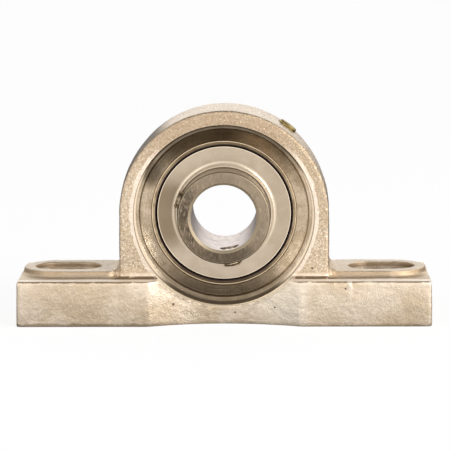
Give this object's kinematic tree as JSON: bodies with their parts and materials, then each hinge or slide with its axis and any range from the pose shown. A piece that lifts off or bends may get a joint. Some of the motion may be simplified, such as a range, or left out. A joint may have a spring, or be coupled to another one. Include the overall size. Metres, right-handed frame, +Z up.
{
  "type": "pillow block bearing",
  "caption": "Cast pillow block with a slotted, waisted base and a self-aligning ball bearing insert with an extended inner ring for a plain shaft.",
  "frame": {"origin": "centre of the base's underside", "axes": "+X along the base, +Y along the shaft away from the set screws, +Z up from the mounting face to the shaft"},
  "size_m": [0.127, 0.038, 0.0658],
  "materials": {
    "cast_stainless": "satin, fine cast grain",
    "ring_steel": "ground, fine turning marks",
    "ball_steel": "polished",
    "cage_steel": "pressed, smooth",
    "seal_steel": "pressed, smooth",
    "flinger_steel": "pressed, smooth satin",
    "seal_rubber": "matt",
    "screw_steel": "bright",
    "fitting_brass": "satin",
    "spring_steel": "drawn wire"
  },
  "bodies": {
    "housing_body": {"housing": "cast_stainless", "grease_fitting": "fitting_brass", "fitting_spring": "spring_steel"},
    "check_ball_body": {"fitting_check_ball": "ball_steel"},
    "outer_ring_body": {"outer_ring": "ring_steel", "seal_plate_front": "seal_steel", "seal_plate_rear": "seal_steel", "seal_lip_front": "seal_rubber", "seal_lip_rear": "seal_rubber"},
    "inner_ring_body": {"inner_ring": "ring_steel", "flinger_front": "flinger_steel", "flinger_rear": "flinger_steel"},
    "cage_body": {"cage_front": "cage_steel", "cage_rear": "cage_steel", "cage_rivets": "cage_steel"},
    "screw_left_body": {"set_screw_left": "screw_steel"},
    "screw_bottom_body": {"set_screw_bottom": "screw_steel"},
    "ball_1_body": {"ball_1": "ball_steel"},
    "ball_2_body": {"ball_2": "ball_steel"},
    "ball_3_body": {"ball_3": "ball_steel"},
    "ball_4_body": {"ball_4": "ball_steel"},
    "ball_5_body": {"ball_5": "ball_steel"},
    "ball_6_body": {"ball_6": "ball_steel"},
    "ball_7_body": {"ball_7": "ball_steel"},
    "ball_8_body": {"ball_8": "ball_steel"}
  },
  "joints": [
    {"name": "insert_tilt", "type": "hinge", "parent": "housing_body", "child": "outer_ring_body", "pos_m": [0, 0, 0.0333], "axis": [1, 0, 0], "range_deg": [-2, 2]},
    {"name": "inner_ring_spin", "type": "hinge", "parent": "outer_ring_body", "child": "inner_ring_body", "pos_m": [0, 0, 0.0333], "axis": [0, 1, 0], "continuous": true},
    {"name": "cage_spin", "type": "hinge", "parent": "outer_ring_body", "child": "cage_body", "pos_m": [0, 0, 0.0333], "axis": [0, 1, 0], "continuous": true},
    {"name": "ball_1_spin", "type": "hinge", "parent": "cage_body", "child": "ball_1_body", "pos_m": [0, 0, 0.05005], "axis": [0, 1, 0], "continuous": true},
    {"name": "ball_2_spin", "type": "hinge", "parent": "cage_body", "child": "ball_2_body", "pos_m": [-0.01184, 0, 0.04514], "axis": [0, 1, 0], "continuous": true},
    {"name": "ball_3_spin", "type": "hinge", "parent": "cage_body", "child": "ball_3_body", "pos_m": [-0.01675, 0, 0.0333], "axis": [0, 1, 0], "continuous": true},
    {"name": "ball_4_spin", "type": "hinge", "parent": "cage_body", "child": "ball_4_body", "pos_m": [-0.01184, 0, 0.02146], "axis": [0, 1, 0], "continuous": true},
    {"name": "ball_5_spin", "type": "hinge", "parent": "cage_body", "child": "ball_5_body", "pos_m": [0, 0, 0.01655], "axis": [0, 1, 0], "continuous": true},
    {"name": "ball_6_spin", "type": "hinge", "parent": "cage_body", "child": "ball_6_body", "pos_m": [0.01184, 0, 0.02146], "axis": [0, 1, 0], "continuous": true},
    {"name": "ball_7_spin", "type": "hinge", "parent": "cage_body", "child": "ball_7_body", "pos_m": [0.01675, 0, 0.0333], "axis": [0, 1, 0], "continuous": true},
    {"name": "ball_8_spin", "type": "hinge", "parent": "cage_body", "child": "ball_8_body", "pos_m": [0.01184, 0, 0.04514], "axis": [0, 1, 0], "continuous": true},
    {"name": "screw_left_travel", "type": "slide", "parent": "inner_ring_body", "child": "screw_left_body", "axis": [-0.9397, 0, 0.342], "range_m": [-0.0003, 0.002]},
    {"name": "screw_bottom_travel", "type": "slide", "parent": "inner_ring_body", "child": "screw_bottom_body", "axis": [0.1736, 0, -0.9848], "range_m": [-0.0003, 0.002]},
    {"name": "check_ball_travel", "type": "slide", "parent": "housing_body", "child": "check_ball_body", "axis": [0.6018, 0, 0.7986], "range_m": [-0.0008, 0], "stiffness_N_per_m": 50, "springref_m": 0.001, "deforming": ["fitting_spring"]}
  ],
  "couplings": [
    {"joint": "cage_spin", "follows": "inner_ring_spin", "ratio": 0.38152},
    {"joint": "ball_1_spin", "follows": "inner_ring_spin", "ratio": -1.9916},
    {"joint": "ball_2_spin", "follows": "inner_ring_spin", "ratio": -1.9916},
    {"joint": "ball_3_spin", "follows": "inner_ring_spin", "ratio": -1.9916},
    {"joint": "ball_4_spin", "follows": "inner_ring_spin", "ratio": -1.9916},
    {"joint": "ball_5_spin", "follows": "inner_ring_spin", "ratio": -1.9916},
    {"joint": "ball_6_spin", "follows": "inner_ring_spin", "ratio": -1.9916},
    {"joint": "ball_7_spin", "follows": "inner_ring_spin", "ratio": -1.9916},
    {"joint": "ball_8_spin", "follows": "inner_ring_spin", "ratio": -1.9916}
  ]
}
